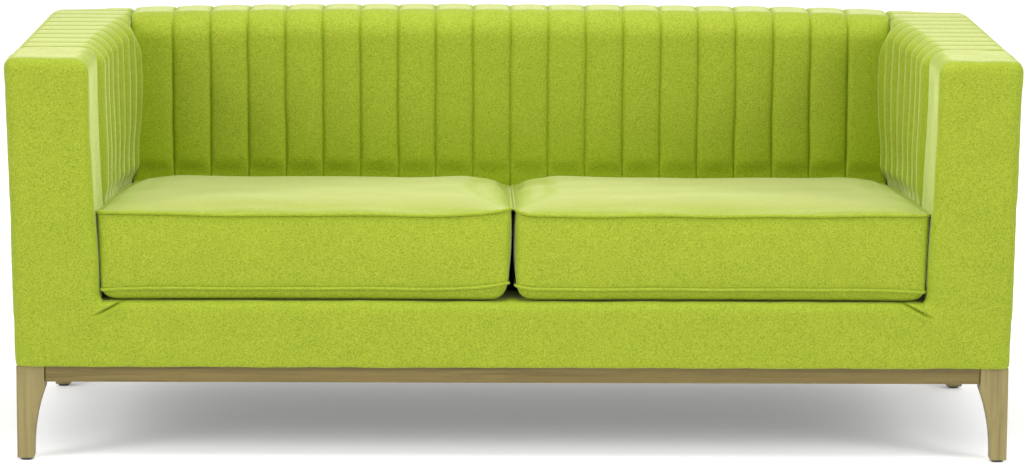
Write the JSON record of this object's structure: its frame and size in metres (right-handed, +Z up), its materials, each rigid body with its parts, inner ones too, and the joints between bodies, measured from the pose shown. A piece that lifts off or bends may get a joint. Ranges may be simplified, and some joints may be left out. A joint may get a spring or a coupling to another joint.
{
  "type": "sofa",
  "caption": "Upholstered sofa with channel-stitched arms and back, loose piped seat cushions and a wooden base frame on tapered legs.",
  "frame": {"origin": "on the floor, under the middle of the sofa's box", "axes": "+X along the sofa, to the right as seen from in front of it; +Y from the front to the back; +Z up"},
  "size_m": [1.766, 0.84, 0.72],
  "materials": {
    "upholstery": "matte",
    "beech": "satin",
    "pine": "matte",
    "nylon": "matte",
    "zinc": "satin",
    "spring_steel": "satin",
    "foam_pad": "matte",
    "foam_core": "matte",
    "nonwoven": "matte",
    "zip_tape": "matte",
    "slider_metal": "satin"
  },
  "bodies": {
    "frame": {"arm_front_pad_left": "upholstery", "arm_front_pad_right": "upholstery", "arm_pad_left": "foam_pad", "arm_pad_right": "foam_pad", "arm_post_back_left": "pine", "arm_post_back_right": "pine", "arm_post_front_left": "pine", "arm_post_front_right": "pine", "arm_top_rail_left": "pine", "arm_top_rail_right": "pine", "back_pad": "foam_pad", "back_panel": "upholstery", "back_post_centre": "pine", "back_top_rail": "pine", "base_bolt_back_left": "zinc", "base_bolt_back_right": "zinc", "base_bolt_front_left": "zinc", "base_bolt_front_right": "zinc", "base_front_pad": "upholstery", "base_rail_back": "beech", "base_rail_front": "beech", "base_rail_left": "beech", "base_rail_right": "beech", "corner_block_back_left": "beech", "corner_block_back_right": "beech", "corner_block_front_left": "beech", "corner_block_front_right": "beech", "deck_pad": "foam_pad", "dust_cover": "nonwoven", "glide_back_left": "nylon", "glide_back_right": "nylon", "glide_front_left": "nylon", "glide_front_right": "nylon", "leg_back_left": "beech", "leg_back_right": "beech", "leg_front_left": "beech", "leg_front_right": "beech", "seat_rail_back": "pine", "seat_rail_front": "pine", "seat_rail_left": "pine", "seat_rail_right": "pine", "seat_spring_left_1": "spring_steel", "seat_spring_left_2": "spring_steel", "seat_spring_left_3": "spring_steel", "seat_spring_left_4": "spring_steel", "seat_spring_right_1": "spring_steel", "seat_spring_right_2": "spring_steel", "seat_spring_right_3": "spring_steel", "seat_spring_right_4": "spring_steel", "side_panel_left": "upholstery", "side_panel_right": "upholstery", "spring_rail": "pine"},
    "seat_cushion_left": {"cushion_cover_left": "upholstery", "cushion_foam_left": "foam_core", "zip_tape_left": "zip_tape"},
    "zip_pull_left": {"zip_slider_left": "slider_metal"},
    "seat_cushion_right": {"cushion_cover_right": "upholstery", "cushion_foam_right": "foam_core", "zip_tape_right": "zip_tape"},
    "zip_pull_right": {"zip_slider_right": "slider_metal"}
  },
  "joints": [
    {"name": "cushion_lift_left", "type": "slide", "parent": "frame", "child": "seat_cushion_left", "axis": [0, 0, 1], "range_m": [0, 0.46]},
    {"name": "cushion_lift_right", "type": "slide", "parent": "frame", "child": "seat_cushion_right", "axis": [0, 0, 1], "range_m": [0, 0.46]},
    {"name": "zip_run_left", "type": "slide", "parent": "seat_cushion_left", "child": "zip_pull_left", "axis": [1, 0, 0], "range_m": [0, 0.6]},
    {"name": "zip_run_right", "type": "slide", "parent": "seat_cushion_right", "child": "zip_pull_right", "axis": [1, 0, 0], "range_m": [0, 0.6]}
  ]
}
